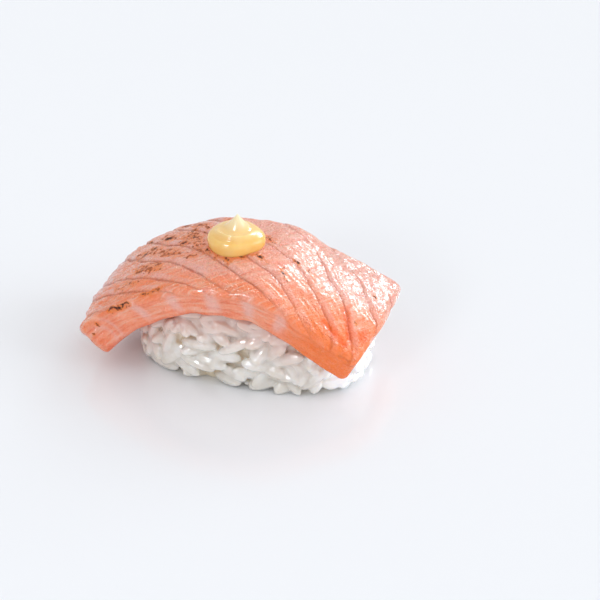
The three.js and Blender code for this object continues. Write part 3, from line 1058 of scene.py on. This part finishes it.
class Finish:
    # A material's node tree, with short ways to add and join nodes
    def __init__(self, name):
        self.material = bpy.data.materials.new(name)
        self.material.use_nodes = True
        self.tree = self.material.node_tree
        self.shader = self.tree.nodes["Principled BSDF"]

    def add(self, kind, settings=None, **inputs):
        node = self.tree.nodes.new(kind)
        for key, value in (settings or {}).items():
            setattr(node, key, value)
        for key, value in inputs.items():
            self.feed(node.inputs[key.replace("_", " ")], value)
        return node

    def feed(self, socket, value):
        if isinstance(value, bpy.types.NodeSocket):
            self.tree.links.new(value, socket)
        else:
            socket.default_value = value

    def mask(self, name):
        return self.add("ShaderNodeAttribute", {"attribute_name": name}).outputs["Fac"]

    # Sets the shader's own sockets, or links them
    def finish(self, values):
        for name, value in values.items():
            self.feed(self.shader.inputs[name], value)
        return self.material

    def math(self, operation, a, b=0.0):
        node = self.add("ShaderNodeMath", {"operation": operation})
        self.feed(node.inputs[0], a)
        self.feed(node.inputs[1], b)
        return node.outputs[0]

    def plus(self, a, b):
        return self.math("ADD", a, b)

    def minus(self, a, b):
        return self.math("SUBTRACT", a, b)

    def times(self, a, b):
        return self.math("MULTIPLY", a, b)

    def blend(self, share, a, b):
        node = self.add("ShaderNodeMix", {"data_type": "RGBA", "clamp_factor": True})
        self.feed(node.inputs[0], share)
        self.feed(node.inputs[6], a)
        self.feed(node.inputs[7], b)
        return node.outputs[2]

    # Lays paints over a colour, one after another, each with its share
    def paint(self, colour, layers):
        for share, tint in layers:
            colour = self.blend(share, colour, linear(*tint))
        return colour

    def span(self, value, low, high, newLow=0.0, newHigh=1.0):
        node = self.add("ShaderNodeMapRange", {"interpolation_type": "SMOOTHSTEP"})
        for index, item in enumerate((value, low, high, newLow, newHigh)):
            self.feed(node.inputs[index], item)
        return node.outputs[0]

    def noise(self, coords, scale, detail, rough, distort=0.0):
        node = self.add("ShaderNodeTexNoise", Vector=coords, Scale=scale, Detail=detail)
        node.inputs["Roughness"].default_value = rough
        node.inputs["Distortion"].default_value = distort
        return node.outputs["Fac"]

    def grain(self, coords, scale, detail, unevenness, smoothest, roughest):
        node = self.add("ShaderNodeGroup", {"node_tree": wetGrain}, Coordinates=coords, Scale=scale)
        values = {"Detail": detail, "Unevenness": unevenness, "Smoothest": smoothest, "Roughest": roughest}
        for name, value in values.items():
            node.inputs[name].default_value = value
        return node.outputs["Grain"], node.outputs["Roughness"]

    def bump(self, height, strength, distance):
        return self.add("ShaderNodeBump", Strength=strength, Distance=distance, Height=height).outputs[0]

    def map(self, name):
        return self.add("ShaderNodeUVMap", {"uv_map": name}).outputs[0]

    def stretch(self, coords, scale):
        return self.add("ShaderNodeMapping", Vector=coords, Scale=scale).outputs[0]

    def place(self):
        return self.add("ShaderNodeTexCoord").outputs["Object"]


# A thin dark line at each seam and a pale band on its right, by the distance from the nearest
# seam in millimetres, which is below zero on its left
def seamLines(f, speck):
    split = f.add("ShaderNodeSeparateXYZ", Vector=f.map("seamCount"))
    away = f.times(f.minus(split.outputs[0], f.math("ROUND", split.outputs[0])), split.outputs[1])
    away = f.plus(away, f.times(f.minus(speck, 0.5), 0.5))
    line = f.span(f.math("ABSOLUTE", f.plus(away, 0.15)), 0.06, 0.42, 1.0, 0.0)
    band = f.span(f.math("ABSOLUTE", f.minus(away, 0.8)), 0.3, 0.95, 1.0, 0.0)
    seam, seamDark = f.mask("seam"), f.mask("seamDark")
    line = f.times(f.times(line, seam), f.span(seamDark, 0, 1, 0.36, 0.45))
    band = f.times(f.times(band, seam), f.span(seamDark, 0, 1, 0.65, 0.35))
    return line, band


def fleshColour(f, fibre, layers, broad, speck):
    cutFace = f.mask("cutFace")
    line, band = seamLines(f, speck)
    pale = f.span(f.plus(f.mask("paleBack"), f.times(broad, 0.6)), 0.35, 1.25)
    return f.paint(linear(247, 139, 90), [
        (pale, (244, 177, 160)),
        (f.span(fibre, 0.48, 0.64, 0.0, 0.55), (250, 192, 166)),  # pale fibres
        (f.span(fibre, 0.47, 0.33, 0.0, 0.45), (236, 106, 62)),  # and red ones
        (f.times(cutFace, 0.5), (248, 158, 130)),
        (f.times(cutFace, f.span(layers, 0.5, 0.38, 0.0, 0.6)), (234, 104, 56)),
        (f.times(cutFace, f.span(layers, 0.5, 0.64, 0.0, 0.6)), (248, 186, 160)),
        (f.times(f.mask("warmTip"), 0.86), (255, 122, 40)),
        (band, (240, 184, 174)),
        (line, (216, 96, 68)),
        # painted glow, and painted shade in the creases, in deep orange
        (f.times(f.mask("glowAndCreaseShade"), 0.85), (252, 100, 12)),
        (f.times(f.mask("fat"), 0.54), (240, 196, 188)),
        # painted contact shade along the lower edge of the cut face
        (f.times(f.mask("lowEdgeShade"), 0.6), (226, 92, 44)),
        # painted sheen: a pale lilac sky reflection painted on the left end
        (f.times(f.mask("endSheen"), 0.6), (226, 178, 174)),
    ])


# Rust-coloured patches, with brown and a few black specks in them, and the painted shadow in front of the
# sauce in the same colours
def burn(f, colour, place, fine, speck):
    spotty = f.plus(f.times(f.minus(fine, 0.5), 1.5), f.minus(speck, 0.5))
    dots = f.minus(f.noise(place, 1150, 1.0, 0.5), 0.5)
    scorchAndSauceShadow = f.plus(f.mask("scorchAndSauceShadow"), f.times(f.mask("torched"), 0.35))
    rust = f.span(f.plus(scorchAndSauceShadow, f.times(spotty, 0.9)), 0.35, 0.85)
    brown = f.span(f.plus(scorchAndSauceShadow, f.times(dots, 3.2)), 0.98, 1.22)
    black = f.span(f.plus(f.mask("char"), f.times(spotty, 1.2)), 0.58, 0.8)
    colour = f.paint(colour, [
        # the rust colour also paints the shadow in front of the sauce
        (f.times(rust, 0.75), (238, 122, 20)),
        (f.times(brown, 0.85), (156, 66, 0)),
        (f.times(black, 0.97), (58, 18, 0)),
    ])
    return colour, f.math("MAXIMUM", brown, black)


def fishFinish():
    f = Finish("salmonFlesh")
    place = f.place()
    fine, rough = f.grain(place, 1900, 3.0, 0.6, 0.2, 0.34)
    speck = f.noise(place, 700, 2.0, 0.5)
    broad = f.noise(place, 130, 3.0, 0.55)
    frost = f.noise(place, 1250, 2.0, 0.6)
    hatch = f.noise(f.stretch(place, (1500, 60, 260)), 1.0, 3.0, 0.6)
    streak = f.noise(f.stretch(f.map("fibres"), (1.5, 0.16, 1)), 1.0, 3.0, 0.6, 0.3)
    layers = f.noise(f.stretch(f.map("side"), (0.13, 1.25, 1)), 1.0, 4.0, 0.65, 0.5)
    cutFace, wetRim = f.mask("cutFace"), f.mask("wetRim")
    onTop = f.minus(1.0, cutFace)
    fibre = f.plus(f.times(f.minus(streak, 0.5), onTop), 0.5)
    colour = fleshColour(f, fibre, layers, broad, speck)
    colour, burnt = burn(f, colour, place, fine, speck)

    height = f.plus(f.times(fibre, 0.9), f.times(fine, 0.6))
    for pattern, share in [
        (layers, f.times(cutFace, 0.9)),
        (hatch, f.times(f.times(cutFace, onTop), 3.2)),
        (frost, f.times(wetRim, 1.6)),
        (fine, f.times(onTop, f.mask("paleBack"))),
    ]:
        height = f.plus(height, f.times(pattern, share))
    rough = f.plus(f.minus(rough, f.times(wetRim, 0.08)), f.times(burnt, 0.5))
    speckled = f.span(frost, 0.42, 0.6, 0.12, 0.66)
    return f.finish({
        "Base Color": colour,
        "Roughness": rough,
        "Normal": f.bump(height, 0.9, 0.0005),
        "Specular IOR Level": 0.38,
        "Subsurface Weight": 0.3,
        "Subsurface Radius": (1.0, 0.35, 0.2),
        "Subsurface Scale": 0.002,
        "Coat Weight": f.times(f.minus(1.0, burnt), speckled),
        "Coat Roughness": 0.16,
    })


def riceFinish():
    f = Finish("cookedRice")
    place = f.place()
    cloud = f.noise(place, 420, 3.0, 0.55)
    broad = f.noise(place, 190, 2.0, 0.5)
    fine, rough = f.grain(place, 1600, 2.0, 0.5, 0.12, 0.26)
    colour = f.paint(linear(220, 213, 203), [
        (f.span(cloud, 0.35, 0.7), (237, 232, 226)),
        (f.span(broad, 0.4, 0.65, 0.0, 0.5), (246, 244, 241)),
        # painted light on the right end
        (f.mask("litRightEnd"), (255, 254, 253)),
        # painted shade towards the foot
        (f.times(f.mask("foot"), 0.5), (206, 198, 186)),
        # painted shade in the crevices between the grains
        (f.times(f.mask("deep"), 0.6), (230, 204, 160)),
        # painted shade and pink reflected light under the fish
        (f.times(f.mask("shadeUnderFish"), 0.85), (228, 194, 182)),
    ])
    return f.finish({
        "Base Color": colour,
        "Roughness": rough,
        "Normal": f.bump(f.plus(cloud, f.times(fine, 0.4)), 0.35, 0.00015),
        "Subsurface Weight": 0.9,
        "Subsurface Radius": (1.0, 0.88, 0.72),
        "Subsurface Scale": 0.0023,
        "Coat Weight": 1.0,
        "Coat Roughness": 0.06,
    })


def sauceFinish():
    f = Finish("eggSauce")
    cloud, rough = f.grain(f.place(), 260, 2.0, 0.5, 0.16, 0.26)
    colour = f.paint(linear(247, 194, 104), [
        (f.span(cloud, 0.3, 0.7), (250, 206, 126)),
        # painted light on the top of the dollop
        (f.times(f.mask("peak"), 0.75), (255, 241, 208)),
    ])
    return f.finish({
        "Base Color": colour,
        "Roughness": rough,
        "Normal": f.bump(cloud, 0.15, 0.0002),
        "Subsurface Weight": 0.4,
        "Subsurface Radius": (1.0, 0.8, 0.4),
        "Subsurface Scale": 0.0015,
    })


def floorFinish():
    return Finish("paleFloor").finish({"Base Color": (0.88, 0.885, 0.9, 1), "Roughness": 0.15, "IOR": 1.55})


# The camera stands at the photo's angle. Pixels are those of the 600 by 600 picture.
camera = {
    "azimuth": math.radians(17),
    "elevation": math.radians(34),
    "distance": 440,
    "pixelsPerMm": 4.4,
    "originPixel": (259.8, 352.4),
    "framePixels": 600,
    "sensor": 36,
}


def viewAxes(azimuth, elevation):
    back = Vector((
        math.sin(azimuth) * math.cos(elevation),
        -math.cos(azimuth) * math.cos(elevation),
        math.sin(elevation),
    ))
    right = Vector((math.cos(azimuth), math.sin(azimuth), 0))
    return back, right, back.cross(right)


def addCamera():
    back, right, up = viewAxes(camera["azimuth"], camera["elevation"])
    middle = camera["framePixels"] / 2
    pixelX, pixelY = camera["originPixel"]
    aim = right * (middle - pixelX) + up * (pixelY - middle)
    aim *= mm / camera["pixelsPerMm"]
    spot = back * camera["distance"] * mm
    data = bpy.data.cameras.new("camera")
    data.sensor_width = camera["sensor"]
    data.lens = camera["pixelsPerMm"] * camera["sensor"] / camera["framePixels"] * camera["distance"]
    data.clip_start = 0.01
    item = bpy.data.objects.new("camera", data)
    item.location = spot
    item.rotation_euler = (aim - spot).to_track_quat("-Z", "Y").to_euler()
    bpy.context.scene.collection.objects.link(item)
    bpy.context.scene.camera = item


# Each light: where it stands, how strong it is, how many degrees wide, and if only gloss shows it
suns = {
    "windowLight": ((0.33, 0.79, 0.51), 0.45, 30, False),
    "windowShine": ((0.33, 0.79, 0.51), 2.6, 24, True),
    "rimShine": ((-0.3, -0.5, 0.81), 1.6, 12, True),
    "sideLight": ((0.93, 0.05, 0.36), 1.3, 40, False),
    "frontFill": ((-0.3, -0.82, 0.45), 0.4, 14, False),
}


def addSun(name, direction, energy, spread, onlyShine):
    data = bpy.data.lights.new(name, "SUN")
    data.energy = energy
    data.angle = math.radians(spread)
    data.color = (0.88, 0.94, 1.0)
    item = bpy.data.objects.new(name, data)
    item.location = direction
    item.rotation_euler = (-Vector(direction)).to_track_quat("-Z", "Y").to_euler()
    item.visible_diffuse = not onlyShine
    bpy.context.scene.collection.objects.link(item)


def addStudio():
    bpy.ops.mesh.primitive_plane_add(size=6, location=(0, 0, 0))
    floor = bpy.context.object
    floor.name = "floor"
    floor.data.materials.append(floorFinish())
    floor.select_set(False)
    for name, settings in suns.items():
        addSun(name, *settings)
    world = bpy.data.worlds.new("studio")
    world.use_nodes = True
    sky = world.node_tree.nodes["Background"].inputs
    sky["Color"].default_value = (0.97, 0.98, 1.0, 1)
    sky["Strength"].default_value = 0.82
    bpy.context.scene.world = world
    bpy.context.scene.view_settings.view_transform = "Standard"


print("camera and studio")
addCamera()
addStudio()
print("salmon")
fishPiece = makeFish()
fishPiece.data.materials.append(fishFinish())
finishPiece(fishPiece, "salmon")
print("rice")
ricePiece = makeRice()
ricePiece.data.materials.append(riceFinish())
finishPiece(ricePiece, "rice")
print("sauce")
saucePiece = makeSauce()
saucePiece.data.materials.append(sauceFinish())
finishPiece(saucePiece, "sauce")
